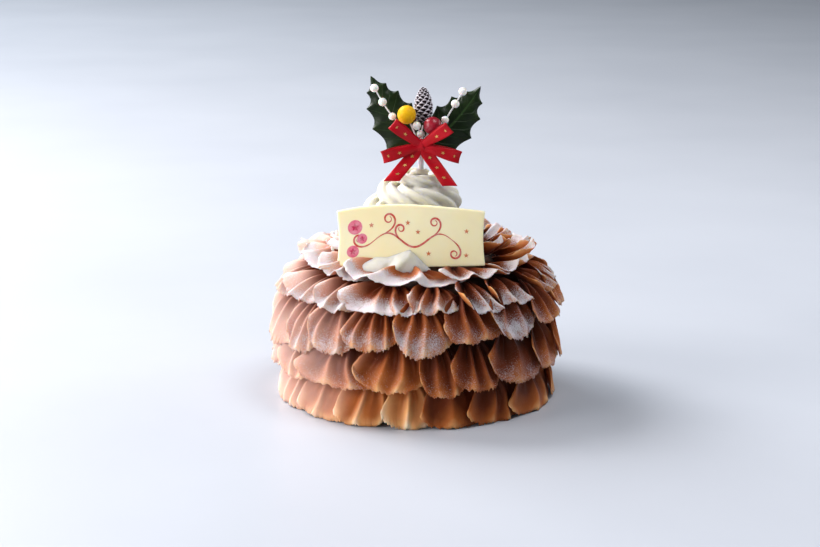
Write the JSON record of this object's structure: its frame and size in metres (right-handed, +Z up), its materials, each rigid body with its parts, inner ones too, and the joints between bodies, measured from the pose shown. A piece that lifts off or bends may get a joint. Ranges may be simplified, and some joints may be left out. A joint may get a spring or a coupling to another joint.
{
  "type": "chocolate fan celebration cake",
  "caption": "Round celebration cake clad in rows of gathered chocolate fans dusted with sugar, topped with a cream swirl, a white chocolate plaque and a holly pick with a ribbon bow.",
  "frame": {"origin": "centre of the flat base of the cake", "axes": "+Z up, the plaque faces -Y, +X to the right as seen from the front"},
  "size_m": [0.1509, 0.1513, 0.158],
  "materials": {
    "sponge": "matte",
    "chocolate": "satin",
    "cream": "satin",
    "white_chocolate": "satin",
    "stem_plastic": "gloss",
    "holly_green": "satin",
    "cone_bark": "matte",
    "yellow_satin": "satin",
    "red_gloss": "gloss",
    "pearl_white": "gloss",
    "red_ribbon": "satin",
    "wire_white": "satin"
  },
  "bodies": {
    "root": {"cake_body": "sponge", "fan_row_1": "chocolate", "fan_row_2": "chocolate", "fan_row_3": "chocolate", "fan_row_4": "chocolate", "fan_row_5": "chocolate", "fan_row_6": "chocolate", "plaque": "white_chocolate", "ribbon_bow": "red_ribbon", "pick_stem": "stem_plastic", "whipped_cream": "cream", "cream_dab": "cream", "holly_leaf_left": "holly_green", "holly_leaf_right": "holly_green", "pine_cone": "cone_bark", "yellow_ball": "yellow_satin", "yellow_ball_wire": "wire_white", "red_ball": "red_gloss", "red_ball_wire": "wire_white", "pine_cone_wire": "wire_white", "spray_wire_left": "wire_white", "bead_left_1": "pearl_white", "bead_left_2": "pearl_white", "bead_left_3": "pearl_white", "spray_wire_right": "wire_white", "bead_right_1": "pearl_white", "bead_right_2": "pearl_white", "bead_right_3": "pearl_white", "spray_wire_centre": "wire_white", "bead_centre_1": "pearl_white", "bead_centre_2": "pearl_white"}
  },
  "joints": []
}
